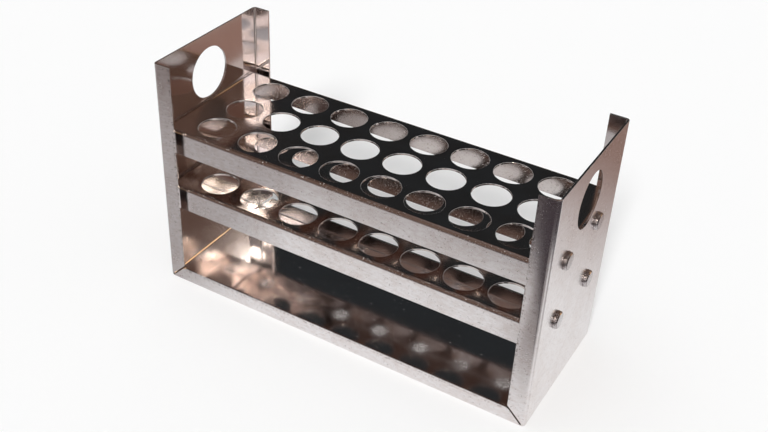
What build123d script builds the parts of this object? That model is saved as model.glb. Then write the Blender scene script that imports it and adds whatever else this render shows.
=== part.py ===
from build123d import *
import math
import os

# A test tube rack in polished steel sheet.
# One sheet is folded to a U, a base with an end panel at each side. A narrow flange is turned in along
# the front and the rear of all three, and the flanges meet in an open mitre at the lower corners.
# Two trays with the same holes hang between the end panels, each on four flat-headed rivets.
# X runs along the rack, Y from front to rear and Z up. The origin is the middle of the base's underside.
# Lengths are in millimetres.

# Frame
rack_length = 220.0
rack_depth = 85.0
rack_height = 134.0
frame_sheet = 1.0
frame_bend = 1.0  # inside radius of every bend
post_flange = 10.2  # width of the flanges on the end panels
base_flange = 9.2  # height of the flanges on the base
mitre_gap = 1.0
mitre_rounding = 3.0  # radius on the upper corners of the base's flanges
finger_hole = 29.0  # diameter
finger_edge = 8.0  # metal left above the finger hole

# Shelves
finger_clearance = 1.0  # from the upper shelf's top up to the finger holes
shelf_spacing = 35.0  # from one shelf's top to the other's
shelf_sheet = 1.0
shelf_bend = 1.0  # inside radius
shelf_flange = 14.0  # height of the edge that is turned down, with its bend
shelf_setback = 4.0  # from the frame's front face to the shelf's
corner_gap = 0.8  # between the end of a tray's short flange and its long one

# Tube holes, marked out by hand and drilled through both shelves together
tube_hole = 20.0  # diameter
holes_along = 8
hole_pitch = 24.6
row_pitch = 24.0
row_drift = {"front": 1.7, "middle": -1.1, "rear": 2.0}  # how far a row strays at most, to the right

# Rivets
rivet_shank = 4.8
rivet_play = 0.05  # round the shank
rivet_head = 9.0
rivet_head_height = 2.0
rivet_head_bevel = 0.6
rivet_tail = 7.2
rivet_tail_height = 1.6
rivet_tail_bevel = 0.5
rivet_pitch = 38.0
rivet_shift = -2.0  # from the rack's middle, towards the front
rivet_drop = 6.0  # below the shelf's top

half_length = rack_length / 2
between_ends = rack_length - 2 * frame_sheet
through_ends = rack_length + 2 * frame_sheet  # long enough to drill both end panels at once
frame_outside = frame_bend + frame_sheet
shelf_outside = shelf_bend + shelf_sheet
shelf_depth = rack_depth - 2 * shelf_setback
finger_height = rack_height - finger_edge - finger_hole / 2
upper_top = finger_height - finger_hole / 2 - finger_clearance
shelf_tops = {"upper": upper_top, "lower": upper_top - shelf_spacing}
ends = {"left": -1, "right": 1}
rivet_rows = {"front": rivet_shift - rivet_pitch / 2, "rear": rivet_shift + rivet_pitch / 2}


def flange_window():
    """The opening between the flanges, seen from the front, down to the slits of both mitres."""
    step = mitre_gap / math.sqrt(2)
    inner = half_length - frame_outside
    above = rack_height + frame_sheet
    right = [
        (inner - step / 2, frame_outside - step / 2),
        (inner + step / 2, frame_outside + step / 2),
        (half_length - post_flange, post_flange + step),
        (half_length - post_flange, above),
    ]
    left = [(-x, z) for x, z in reversed(right)]
    shoulder = half_length - base_flange - step
    outline = [(shoulder, base_flange)] + right + left + [(-shoulder, base_flange)]
    window = Polygon(*outline, align=None)
    shoulders = [corner for corner in window.vertices() if math.isclose(corner.Y, base_flange)]
    return fillet(shoulders, mitre_rounding)


def rivet_holes(top):
    """Holes through both end panels and the shelf's ends, for one shelf."""
    hole = Cylinder(rivet_shank / 2 + rivet_play, through_ends, rotation=(0, 90, 0))
    return [Pos(0, y, top - rivet_drop) * hole for y in rivet_rows.values()]


def make_frame():
    """The folded sheet: base, end panels and their flanges."""
    lift = Align.CENTER, Align.CENTER, Align.MIN
    outer = Box(rack_length, rack_depth, rack_height, align=lift)
    bends = outer.edges().filter_by(Axis.Z) + outer.edges().group_by(Axis.Z)[0]
    outer = fillet(bends, frame_outside)
    hollow = Box(between_ends, rack_depth - 2 * frame_sheet, rack_height, align=lift)
    bends = hollow.edges().filter_by(Axis.Z) + hollow.edges().group_by(Axis.Z)[0]
    hollow = Pos(0, 0, frame_sheet) * fillet(bends, frame_bend)
    window = extrude(Plane.XZ * flange_window(), amount=rack_depth, both=True)
    fingers = Cylinder(finger_hole / 2, through_ends, rotation=(0, 90, 0))
    frame = outer - hollow - window - Pos(0, 0, finger_height) * fingers
    for top in shelf_tops.values():
        frame -= rivet_holes(top)
    return frame


def tube_places():
    """Middles of the tube holes. Each row is true at its ends and strays most about its third hole.

    The curve t(1 - t)^2 peaks at 4/27, a third of the way along, so it is scaled by the inverse.
    """
    rows = {"front": -row_pitch, "middle": 0.0, "rear": row_pitch}
    places = []
    for row, y in rows.items():
        for index in range(holes_along):
            along = index / (holes_along - 1)
            stray = row_drift[row] * along * (1 - along) ** 2 * 27 / 4
            x = (index - (holes_along - 1) / 2) * hole_pitch + stray
            places.append((x, y))
    return places


def make_shelf(top):
    """A tray turned down on all four sides, drilled for the tubes and for its rivets."""
    hang = Align.CENTER, Align.CENTER, Align.MAX
    outer = Box(between_ends, shelf_depth, shelf_flange, align=hang)
    outer = fillet(outer.edges().group_by(Axis.Z)[-1], shelf_outside)
    inside_depth = shelf_depth - 2 * shelf_sheet
    hollow = Box(between_ends - 2 * shelf_sheet, inside_depth, shelf_flange, align=hang)
    hollow = fillet(hollow.edges().group_by(Axis.Z)[-1], shelf_bend)
    tray = outer - Pos(0, 0, -shelf_sheet) * hollow
    slit = Box(between_ends, corner_gap, shelf_flange, align=(Align.CENTER, Align.MIN, Align.MAX))
    for turn in 0, 180:
        tray -= Rot(0, 0, turn) * Pos(0, -inside_depth / 2, -shelf_outside) * slit
    shelf = Pos(0, 0, top) * tray
    hole = Cylinder(tube_hole / 2, 4 * shelf_sheet)
    shelf -= [Pos(x, y, top) * hole for x, y in tube_places()]
    return shelf - rivet_holes(top)


def make_rivet():
    """A flat-headed rivet along X. Its head seats at the origin and its shank runs towards -X."""
    grip = frame_sheet + shelf_sheet
    head = extrude(Circle(rivet_head / 2), rivet_head_height)
    head = chamfer(head.edges().group_by(Axis.Z)[-1], rivet_head_bevel)
    shank = extrude(Circle(rivet_shank / 2), -grip)
    tail = extrude(Plane.XY.offset(-grip) * Circle(rivet_tail / 2), -rivet_tail_height)
    tail = chamfer(tail.edges().group_by(Axis.Z)[0], rivet_tail_bevel)
    return Rot(0, 90, 0) * (head + shank + tail)


parts = {"frame": make_frame()}
rivet = make_rivet()
for shelf_name, shelf_top in shelf_tops.items():
    parts[shelf_name + "_shelf"] = make_shelf(shelf_top)
    for end_name, side in ends.items():
        turn = Rot(0, 0, 0 if side > 0 else 180)
        for row_name, rivet_y in rivet_rows.items():
            place = Pos(side * half_length, rivet_y, shelf_top - rivet_drop)
            parts[f"rivet_{shelf_name}_{end_name}_{row_name}"] = place * turn * rivet

os.makedirs("parts", exist_ok=True)
for name, shape in parts.items():
    shape.label = name
    export_step(shape, f"parts/{name}.step")
    print(name, round(shape.volume, 1))
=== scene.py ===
import math

import bpy
import numpy as np
from mathutils import Matrix


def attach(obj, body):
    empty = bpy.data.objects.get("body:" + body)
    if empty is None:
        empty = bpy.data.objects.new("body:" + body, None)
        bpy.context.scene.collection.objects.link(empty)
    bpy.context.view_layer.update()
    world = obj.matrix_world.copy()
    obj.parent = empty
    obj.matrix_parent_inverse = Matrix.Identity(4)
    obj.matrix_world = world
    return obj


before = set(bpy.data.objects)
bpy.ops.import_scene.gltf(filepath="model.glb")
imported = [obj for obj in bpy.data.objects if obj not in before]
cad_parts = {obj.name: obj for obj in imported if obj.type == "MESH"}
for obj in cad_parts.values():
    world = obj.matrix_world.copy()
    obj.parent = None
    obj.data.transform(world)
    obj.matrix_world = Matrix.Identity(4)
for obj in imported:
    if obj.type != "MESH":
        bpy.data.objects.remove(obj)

# Test tube rack in folded steel sheet: finishes for its eleven pieces, the studio and the camera.
# Meshes are in metres. Patterns in the finishes are worked out in millimetres.
print("rack loaded:", len(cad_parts), "pieces")
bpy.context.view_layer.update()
scene = bpy.context.scene


class Value:  # one shader socket, so that sums of patterns are written as plain expressions
    def __init__(self, tree, socket):
        self.tree = tree
        self.socket = socket

    def math(self, operation, other=None, swap=False):
        node = self.tree.nodes.new("ShaderNodeMath")
        node.operation = operation
        values = (other, self) if swap else (self, other)
        for place, value in zip(node.inputs, values):
            if isinstance(value, Value):
                self.tree.links.new(value.socket, place)
            elif value is not None:
                place.default_value = value
        return Value(self.tree, node.outputs[0])

    def __add__(self, other):
        return self.math("ADD", other)

    def __sub__(self, other):
        return self.math("SUBTRACT", other)

    def __rsub__(self, other):
        return self.math("SUBTRACT", other, swap=True)

    def __mul__(self, other):
        return self.math("MULTIPLY", other)

    def __pow__(self, other):
        return self.math("POWER", other)

    def __mod__(self, other):
        return self.math("FLOORED_MODULO", other)

    def __neg__(self):
        return self.math("MULTIPLY", -1.0)

    def __abs__(self):
        return self.math("ABSOLUTE")

    def most(self, other):
        return self.math("MAXIMUM", other)

    __radd__ = __add__
    __rmul__ = __mul__


class Finish:  # one node tree, for a material or the world
    def __init__(self, owner):
        self.owner = owner
        owner.use_nodes = True
        self.tree = owner.node_tree
        self.tree.nodes.clear()

    def add(self, kind, settings=None, sockets=None, output=0):
        # any node: its type, then its settings, then the values or links of its sockets
        node = self.tree.nodes.new("ShaderNode" + kind)
        for name, value in (settings or {}).items():
            setattr(node, name, value)
        for name, value in (sockets or {}).items():
            if isinstance(value, Value):
                self.tree.links.new(value.socket, node.inputs[name])
            else:
                node.inputs[name].default_value = value
        if output is None:
            return node
        return Value(self.tree, node.outputs[output])

    def places(self):
        # where on the piece a point is, in millimetres, as a vector and as x, y and z
        place = self.add("TexCoord", output="Object")
        self.mm = self.add("VectorMath", {"operation": "SCALE"}, {0: place, "Scale": 1000.0})
        split = self.add("SeparateXYZ", None, {0: self.mm}, output=None)
        return [Value(self.tree, end) for end in split.outputs]

    def step(self, value, low, high):
        # 0 below low and 1 above high, smooth between them
        limits = {"Value": value, "From Min": low, "From Max": high}
        return self.add("MapRange", {"interpolation_type": "SMOOTHSTEP"}, limits)

    def band(self, value, low, high, soft):
        # 1 from low to high, fading over soft on both sides
        return self.step(value, low - soft, low) * (1 - self.step(value, high, high + soft))

    def outside(self, value, face):
        # 1 on the outer face of a 1 mm sheet and 0 on its inner one
        return self.step(value, face - 0.7, face - 0.3)

    def noise(self, size, stretch=(1, 1, 1), turn=(0, 0, 0), shift=0.0, detail=3.0):
        # noise with features about size mm across, drawn out along the turned axes
        turned = [math.radians(angle) for angle in turn]
        drawn = {"Vector": self.mm, "Location": (shift, -shift, shift), "Rotation": turned}
        drawn["Scale"] = [size * k for k in stretch]
        where = self.add("Mapping", {"vector_type": "TEXTURE"}, drawn)
        return self.add("TexNoise", None, {"Vector": where, "Scale": 1.0, "Detail": detail})

    def marks(self, amount, *pattern, **words):
        # only the peaks of a noise: amount near 0.6 gives many marks, near 0.7 few
        return self.step(self.noise(*pattern, **words), amount, amount + 0.05)

    def tint(self, factor, first, second):
        # from the first colour to the second
        first = first if isinstance(first, Value) else (*first, 1.0)
        second = second if isinstance(second, Value) else (*second, 1.0)
        return self.add("Mix", {"data_type": "RGBA"}, {0: factor, 6: first, 7: second}, output=2)

    def bump(self, *layers):
        # each layer is a height from 0 to 1 and how many millimetres it stands proud
        height = layers[0][0] * layers[0][1]
        for pattern, deep in layers[1:]:
            height = height + pattern * deep
        return self.add("Bump", None, {"Height": height, "Distance": 0.001, "Strength": 1.0})

    def steel(self, colour, rough, normal, metal):
        surface = {"Base Color": colour, "Roughness": rough, "Metallic": metal, "Normal": normal}
        shader = self.add("BsdfPrincipled", None, surface)
        self.add("OutputMaterial", None, {"Surface": shader}, output=None)
        return self.owner

    def glow(self, colour):
        return self.add("Emission", None, {"Color": colour, "Strength": 1.0})

    def seen(self):
        # 1 where a ray comes from the camera, from a mirroring surface or through glass
        path = self.add("LightPath", output=None)
        camera, glossy, through = [
            Value(self.tree, path.outputs[kind])
            for kind in ("Is Camera Ray", "Is Glossy Ray", "Is Transmission Ray")
        ]
        return camera.most(glossy).most(through)


# Sizes that the finishes follow, read from the frame in millimetres


def boxOf(name):
    corners = np.array(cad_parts[name].bound_box) * 1000
    return np.round(corners.min(axis=0), 1).tolist(), np.round(corners.max(axis=0), 1).tolist()


endFace, frontFace, _ = boxOf("frame")[1]  # the end panels' and the flanges' outer faces, from the middle
trayEnd, trayFront, trayTop = boxOf("upper_shelf")[1]
shelfSpacing = trayTop - boxOf("lower_shelf")[1][2]
rivetBoxes = np.array([boxOf(name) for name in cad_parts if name.startswith("rivet")])
rivetMiddles = np.round(rivetBoxes.mean(axis=1)[:, 1:], 1)  # y and z of each rivet's axis
rivetRows = rivetMiddles.mean(axis=0).tolist()
rivetApart = np.abs(rivetMiddles - rivetRows).max(axis=0).tolist()
holePitch = 24.6


def rivetAway(finish, y, z):
    # how far a point is from the axis of the nearest rivet
    across = abs(y - rivetRows[0]) - rivetApart[0]
    level = abs(z - rivetRows[1]) - rivetApart[1]
    return (across ** 2.0 + level ** 2.0) ** 0.5


# Steel. Each piece has a look, with its polish, and a function for the marks that it alone has, painted shade
# among them

steel = {
    "clean": (0.81, 0.79, 0.80),
    "film": (0.69, 0.63, 0.615),
    # dark of pits and grime, also the colour of the painted shade round the rivet heads
    "pitAndShade": (0.16, 0.12, 0.11),
    "scuff": (0.80, 0.77, 0.74),
    # grey of the painted shade under the shelves and inside their flanges
    "dimShade": (0.46, 0.42, 0.41),
    "tarnish": (0.52, 0.44, 0.40),
    "bright": (0.95, 0.93, 0.90),
}


def sheetFinish(name, look, ownMarks):
    # rolled sheet: streaks along its run, fine scratches, pits, hazy patches and a slight waviness
    finish = Finish(bpy.data.materials.new(name))
    place = finish.places()
    streaks = finish.noise(0.45, (70, 1, 1), detail=2.0)
    own = {"streaks": streaks, "stainsAndShade": [], "layers": []}
    own.update(ownMarks(finish, streaks, *place))
    streaks, satin, scuffs = own["streaks"], own["satin"], own["scuffs"]
    scratches = finish.marks(0.63, 0.5, (60, 1, 1), (0, 8, 24), 3.0)
    scratches = scratches.most(finish.marks(0.64, 0.45, (50, 1, 1), (0, -62, 15), 11.0))
    scratches = scratches.most(finish.marks(0.65, 0.4, (40, 1, 1), (12, 35, -50), 23.0))
    haze = finish.step(finish.noise(28.0, detail=4.0), 0.38, 0.68)
    cloud = finish.noise(2.6, (1.6, 1, 1), detail=3.0, shift=17.0)
    smears = finish.step(finish.noise(1.3, (2.6, 2.6, 0.9), detail=3.0, shift=53.0), 0.38, 0.64)
    pits = finish.marks(0.68, 0.9, detail=1.0, shift=5.0) * satin
    waves = finish.noise(look["waveSize"], detail=1.0, shift=40.0)

    rough = look["polish"] + (look["satin"] - look["polish"] + cloud * 0.05) * satin
    rough = rough + streaks * 0.02 + haze * look["haze"] + scratches * look["scratch"] + scuffs * 0.3

    film = haze * 0.35 + streaks * (0.3 - satin * 0.2)
    film = film + (finish.step(cloud, 0.42, 0.66) * 0.2 + smears * 0.4) * satin
    colour = finish.tint(film, look["clean"], look["film"])
    colour = finish.tint(pits * look["pits"], colour, steel["pitAndShade"])
    colour = finish.tint(scuffs, colour, steel["scuff"])
    # tints from each piece's own marks: stains, and painted shade round the rivet heads and under the shelves
    for share, darkTone in own["stainsAndShade"]:
        colour = finish.tint(share, colour, steel[darkTone])

    grain = streaks * look["brushing"] * (satin * 0.5 + 0.5) + cloud * look["mottle"] * (satin * 0.9 + 0.1)
    layers = [(waves, look["waves"]), (grain, 1.0), (scratches, -0.0014), (pits, -0.003), (scuffs, 0.003)]
    metal = 1 - scuffs * 0.8  # scuffs are whitish under the lamps
    return finish.steel(colour, rough, finish.bump(*layers, *own["layers"]), metal)


frameLook = {
    "clean": steel["clean"],
    "film": steel["film"],
    "polish": 0.065,  # inside
    "satin": 0.17,  # outside
    "haze": 0.03,
    "scratch": 0.05,
    "pits": 0.6,
    "waves": 0.03,
    "waveSize": 45.0,
    "brushing": 0.0014,
    "mottle": 0.004,
}


def frameMarks(finish, streaks, x, y, z):
    upright = finish.step(abs(x) + z, endFace - 1.0, endFace + 1.0)  # the end panels' side of the mitres
    streaks = streaks * (1 - upright) + finish.noise(0.45, (1, 1, 70), detail=2.0) * upright
    satin = finish.outside(abs(x), endFace).most(finish.outside(abs(y), frontFace))

    # scuffs on the base where the front row's tubes stand, and stray ones
    onBase = 1 - finish.step(z, 1.2, 1.6)
    spot = (x + 4.0 * holePitch - 2.0) % holePitch - holePitch / 2
    spot = 1 - finish.step((spot ** 2.0 + (y + 19.5) ** 2.0) ** 0.5, 2.0, 7.5)
    grit = finish.noise(0.8, (0.7, 1.2, 1), (0, 0, 30), 77.0, 4.0)
    grit = finish.step(grit + spot * 0.1, 0.54, 0.7) * 0.85 + 0.1
    scuffs = grit * spot * onBase * finish.step(finish.noise(30.0, shift=8.0), 0.3, 0.6)
    scuffs = scuffs.most(finish.marks(0.7, 1.2, (2, 1, 1), (0, 0, 20), 90.0) * onBase * 0.6)

    # specks of grime along the flanges' edges, and painted shade: a dark ring on the panel round each rivet
    # head, where head and panel meet
    postEdge = 1 - finish.step(abs(x), endFace - 10.0, endFace - 8.4)
    postEdge = postEdge * finish.step(z, 12.0, 16.0) * finish.step(abs(y), frontFace - 0.5, frontFace - 0.2)
    baseEdge = finish.band(z, 7.8, 9.2, 0.5) * (1 - finish.step(abs(x), 96.0, 99.0))
    specks = finish.marks(0.54, 0.9, detail=3.0, shift=44.0) * postEdge.most(baseEdge * 0.7)
    # painted contact shade on the end panels round each rivet head
    paintedContactShade = 1 - finish.step(rivetAway(finish, y, z), 4.55, 5.0)
    paintedContactShade = paintedContactShade * finish.step(abs(x), endFace - 1.0, endFace - 0.4)

    # the right front flange is a little round towards its bend
    front = 1 - finish.step(y, 0.5 - frontFace, 2.5 - frontFace)
    rounding = (x - (endFace - 9.0)).most(0.0) ** 2.0 * front
    return {
        "streaks": streaks,
        "satin": satin,
        "scuffs": scuffs,
        "stainsAndShade": [(specks * 0.75, "pitAndShade"), (paintedContactShade * 0.85, "pitAndShade")],
        "layers": [(rounding, -0.012)],
    }


shelfLook = {
    "clean": steel["clean"],
    "film": steel["film"],
    "polish": 0.09,  # on top and inside
    "satin": 0.17,  # on the flanges
    "haze": 0.05,
    "scratch": 0.05,
    "pits": 0.6,
    "waves": 0.04,
    "waveSize": 40.0,
    "brushing": 0.0014,
    "mottle": 0.004,
}


def trayMarks(finish, streaks, x, y, z):
    satin = finish.outside(abs(y), trayFront).most(finish.step(abs(x), trayEnd - 1.2, trayEnd - 0.6))
    tarnish = finish.step(finish.noise(14.0, shift=21.0), 0.3, 0.7) * 0.35 + 0.4

    # white scuffs along the long bends
    bend = finish.band(abs(y), trayFront - 1.7, trayFront - 0.6, 0.3)
    bend = bend * finish.step(finish.noise(0.5), 0.3, 0.6)
    patches = finish.step(finish.noise(11.0, detail=2.0, shift=61.0), 0.45, 0.6) * 0.65 + 0.35
    scuffs = bend * patches * finish.marks(0.6, 0.8, detail=3.0, shift=31.0)

    # painted shade, darker below and inside: z turns over half a millimetre under each shelf's top, and the
    # flanges' inner faces are darker too
    level = (z - trayTop + 0.5) % shelfSpacing
    dimShade = finish.step(level, shelfSpacing - 0.8, shelfSpacing - 0.6)
    dimShade = dimShade.most(finish.band(abs(y), trayFront - 1.1, trayFront - 0.9, 0.1))
    return {
        "satin": satin,
        "scuffs": scuffs,
        "stainsAndShade": [(tarnish * (1 - satin), "tarnish"), (dimShade * 0.5, "dimShade")],
    }


rivetLook = {
    "clean": (0.60, 0.57, 0.585),
    "film": (0.46, 0.42, 0.42),
    "polish": 0.2,
    "satin": 0.2,
    "haze": 0.05,
    "scratch": 0.05,
    "pits": 0.5,
    "waves": 0.02,
    "waveSize": 6.0,
    "brushing": 0.001,
    "mottle": 0.004,
}


def rivetMarks(finish, streaks, x, y, z):
    # heads a little domed about their axes, with a darker ring on their rims
    away = rivetAway(finish, y, z)
    rim = finish.band(away, 3.7, 4.2, 0.25) * finish.step(abs(x), endFace + 1.3, endFace + 1.8)
    return {
        "satin": 1.0,
        "scuffs": finish.marks(0.6, 0.8, detail=3.0, shift=31.0) * 0.2,
        "stainsAndShade": [(rim * 0.55, "pitAndShade")],
        "layers": [(away ** 2.0, -0.012)],
    }


def edgeFinish(name):
    # edges rubbed bright where the sheet was cut and deburred
    finish = Finish(bpy.data.materials.new(name))
    finish.places()
    nicks = finish.noise(0.8, detail=3.0)
    colour = finish.tint(nicks, steel["bright"], steel["clean"])
    return finish.steel(colour, 0.14 + nicks * 0.12, finish.bump((nicks, 0.004)), 0.4)


frameSteel = sheetFinish("foldedSheet", frameLook, frameMarks)
shelfSteel = sheetFinish("polishedTray", shelfLook, trayMarks)
rivetSteel = sheetFinish("rivetMetal", rivetLook, rivetMarks)
cutEdge = edgeFinish("rubbedEdge")
print("finishes made")


def dress(piece, material, edge):
    # the piece's own finish, and a small worn bevel on its sharp edges
    piece.data.materials.clear()
    piece.data.materials.append(material)
    piece.data.materials.append(cutEdge)
    weld = piece.modifiers.new("weld", "WELD")
    weld.merge_threshold = 1e-6
    bevel = piece.modifiers.new("worn edge", "BEVEL")
    bevel.width = edge / 1000
    bevel.segments = 2
    bevel.limit_method = "ANGLE"
    bevel.angle_limit = math.radians(40)
    bevel.material = 1
    smooth = piece.modifiers.new("shading", "WEIGHTED_NORMAL")
    smooth.keep_sharp = False
    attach(piece, "root")


for name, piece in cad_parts.items():
    if name.startswith("rivet"):
        dress(piece, rivetSteel, 0.12)
    elif name == "frame":
        dress(piece, frameSteel, 0.12)
    else:
        dress(piece, shelfSteel, 0.3)
print("pieces dressed")


# Studio. The metal mirrors a room of soft lights on a dome and a dark table round the rack

room = {
    "dimShade": (0.10, 0.066, 0.052),
    "radius": 2.0,
    "lobes": [  # compass angle from the rear towards the left, height, full within, gone beyond, colour
        (152, 38, 14, 34, (0.22, 0.15, 0.12)),
        (0, 88, 14, 34, (0.28, 0.22, 0.20)),
        (-42, 30, 10, 30, (0.14, 0.085, 0.065)),
        (24, 36, 13.2, 17, (0.023, 0.026, 0.028)),
        (-145, 22, 18, 27, (1.15, 1.08, 1.02)),
        (-146, 31, 5, 11, (1.75, 1.63, 1.54)),
        (-145.4, 38.8, 0.8, 1.7, (0.40, 0.31, 0.25)),
        (-140.2, 37.2, 1.5, 3.2, (6.5, 5.5, 3.8)),
        (-142.9, 37.9, 1.2, 2.4, (100.0, 91.0, 76.0)),
        (-33.4, 38.7, 0.5, 1.2, (8.0, 7.3, 6.4)),
        (-46, 8, 10, 16, (2.8, 1.8, 0.85)),
    ],
}


def towards(angle, height):
    # the direction at a compass angle from the rear towards the left, and at a height over the horizon
    angle, height = math.radians(angle), math.radians(height)
    return (-math.sin(angle) * math.cos(height), math.cos(angle) * math.cos(height), math.sin(height))


def onlyReflected(piece):
    # seen in the metal alone, like the dark cards round a table in a studio
    piece.visible_camera = False
    piece.visible_diffuse = False
    piece.visible_shadow = False
    piece.visible_volume_scatter = False


def surface(name, points, faces, material):
    mesh = bpy.data.meshes.new(name)
    mesh.from_pydata(points, [], faces)
    mesh.materials.append(material)
    piece = bpy.data.objects.new(name, mesh)
    scene.collection.objects.link(piece)
    return piece


def square(name, wide, height, material):
    corners = [(-wide, -wide, height), (wide, -wide, height), (wide, wide, height), (-wide, wide, height)]
    return surface(name, corners, [(0, 1, 2, 3)], material)


def roomMaterial():
    finish = Finish(bpy.data.materials.new("roomRound"))
    place = finish.add("TexCoord", output="Object")
    ray = finish.add("VectorMath", {"operation": "NORMALIZE"}, {0: place})
    colour = None
    for angle, height, full, gone, tone in room["lobes"]:
        rays = {0: ray, 1: towards(angle, height)}
        near = finish.add("VectorMath", {"operation": "DOT_PRODUCT"}, rays, output="Value")
        share = finish.step(near, math.cos(math.radians(gone)), math.cos(math.radians(full)))
        colour = finish.tint(share, room["dimShade"] if colour is None else colour, tone)
    finish.add("OutputMaterial", None, {"Surface": finish.glow(colour)}, output=None)
    return finish.owner


def roomDome():
    # a half ball seen from inside: x = R cos(turn) cos(rise), y = R sin(turn) cos(rise), z = R sin(rise)
    turns = np.linspace(0, 2 * np.pi, 49)[:-1]
    rises = np.linspace(0, np.pi / 2, 13)
    turn, rise = np.meshgrid(turns, rises)
    grid = np.stack([np.cos(turn) * np.cos(rise), np.sin(turn) * np.cos(rise), np.sin(rise)], -1)
    grid = grid * room["radius"]
    rows, columns = turn.shape
    corner = np.arange(rows * columns).reshape(rows, columns)
    following = np.roll(corner, -1, axis=1)
    faces = np.stack([corner[:-1], corner[1:], following[1:], following[:-1]], -1).reshape(-1, 4)
    return surface("roomDome", grid.reshape(-1, 3).tolist(), faces.tolist(), roomMaterial())


table = {
    "plain": (0.22, 0.18, 0.17),
    "rear": (0.12, 0.062, 0.045),
    "rearFar": (0.32, 0.19, 0.15),
    "right": (0.30, 0.20, 0.17),
    "shade": (0.05, 0.038, 0.045),
    "pale": (0.60, 0.51, 0.47),
}


def tableMaterial():
    # clear where the white floor shows: near the rack at its front and right. Brown behind it and further out
    finish = Finish(bpy.data.materials.new("tableRound"))
    x, y, _ = finish.places()
    rightSide = finish.step(x, 70.0, 125.0)
    right = finish.step(y, 10.0, 240.0) * rightSide
    behind = finish.step(y, 30.0, 60.0) * (1 - rightSide)
    left = finish.step(-x, 50.0, 128.0) * 0.66
    before = finish.step(-y, 60.0, 250.0)
    before = before.most(finish.step(x, 55.0, 95.0) * finish.step(-y, 40.0, 115.0) * 0.8)

    # a dark shade in front, cut off slantwise at its right and lighter again round the right front corner
    slant = 176.0 - (x - 54.0).most(0.0) * 0.5 - (x - 90.0).most(0.0)
    shade = finish.step(-y - slant, -7.0, 10.0) * finish.step(x, -20.0, 30.0)
    corner = ((x - 105.0) ** 2.0 + (y + 42.0) ** 2.0) ** 0.5
    shade = shade * (1 - finish.step(x, 138.0, 160.0) * (1 - finish.step(corner, 135.0, 165.0)) * 0.8)
    shade = shade * finish.step(-y, 0.0, 40.0)

    brown = finish.tint(finish.step(y, 120.0, 220.0), table["rear"], table["rearFar"])
    paleFar = finish.step(y, 150.0, 185.0) * finish.step(-x, -28.0, -20.0)
    brown = finish.tint(paleFar, brown, table["pale"])
    colour = finish.tint(behind, table["plain"], brown)
    colour = finish.tint(rightSide * finish.step(y, 0.0, 60.0), colour, table["right"])
    colour = finish.tint(shade, colour, table["shade"])

    share = before.most(right).most(left).most(behind).most(shade)
    clear = finish.add("BsdfTransparent")
    shader = finish.add("MixShader", None, {0: share, 1: clear, 2: finish.glow(colour)})
    finish.add("OutputMaterial", None, {"Surface": shader}, output=None)
    return finish.owner


def floorMaterial():
    # a pale floor that keeps shadows, lifted to white where it is seen or mirrored
    finish = Finish(bpy.data.materials.new("paleFloor"))
    paint = finish.add("BsdfDiffuse", None, {"Color": (0.80, 0.80, 0.80, 1.0)})
    lift = {"Color": (1.0, 1.0, 1.0, 1.0), "Strength": finish.seen() * 0.17}
    shader = finish.add("AddShader", None, {0: paint, 1: finish.add("Emission", None, lift)})
    finish.add("OutputMaterial", None, {"Surface": shader}, output=None)
    return finish.owner


def paleWorld():
    world = bpy.data.worlds.new("paleRoom")
    scene.world = world
    finish = Finish(world)
    light = {"Color": (1.0, 1.0, 1.0, 1.0), "Strength": 0.3 + finish.seen() * 0.7}
    finish.add("OutputWorld", None, {"Surface": finish.add("Background", None, light)}, output=None)


def lookFrom(place, aim):
    # stands at place and faces aim along its own -Z, with its X level
    back = np.subtract(place, aim)
    back = back / np.linalg.norm(back)
    side = np.cross((0.0, 0.0, 1.0), back)
    side = side / np.linalg.norm(side)
    turn = np.eye(4)
    turn[:3, 0], turn[:3, 1], turn[:3, 2], turn[:3, 3] = side, np.cross(back, side), back, place
    return Matrix(turn.tolist())


def keyLight(name, angle, height, strength, spread):
    # even light from one side, as wide as a big soft box. The metal mirrors the room round it and not the lamp
    lamp = bpy.data.lights.new(name, "SUN")
    lamp.energy = strength
    lamp.angle = math.radians(spread)
    holder = bpy.data.objects.new(name, lamp)
    scene.collection.objects.link(holder)
    holder.matrix_world = lookFrom(towards(angle, height), (0, 0, 0))
    holder.visible_glossy = False


onlyReflected(roomDome())
onlyReflected(square("tableCard", 2.0, 0.0003, tableMaterial()))
square("paleFloor", 40.0, 0.0, floorMaterial())
paleWorld()
keyLight("frontKey", -165, 40, 2.7, 12)
keyLight("topFill", 120, 75, 0.5, 50)
print("studio set")


# Camera, found from the photograph: metres, degrees and a lens in millimetres

view = {
    "place": (0.225716, -0.405320, 0.382082),
    "turn": 28.832,  # to the left
    "down": 34.799,
    "roll": 2.983,
    "lens": 50.345,
}


def setCamera():
    lens = bpy.data.cameras.new("camera")
    lens.lens = view["lens"]
    lens.sensor_width = 36.0
    lens.sensor_fit = "HORIZONTAL"
    lens.clip_start = 0.01
    lens.clip_end = 200.0
    camera = bpy.data.objects.new("camera", lens)
    scene.collection.objects.link(camera)
    turn = Matrix.Rotation(math.radians(view["turn"]), 4, "Z")
    tilt = Matrix.Rotation(math.radians(90 - view["down"]), 4, "X")
    roll = Matrix.Rotation(math.radians(view["roll"]), 4, "Z")
    camera.matrix_world = Matrix.Translation(view["place"]) @ turn @ tilt @ roll
    scene.camera = camera


setCamera()
scene.view_settings.view_transform = "Standard"
print("camera set")
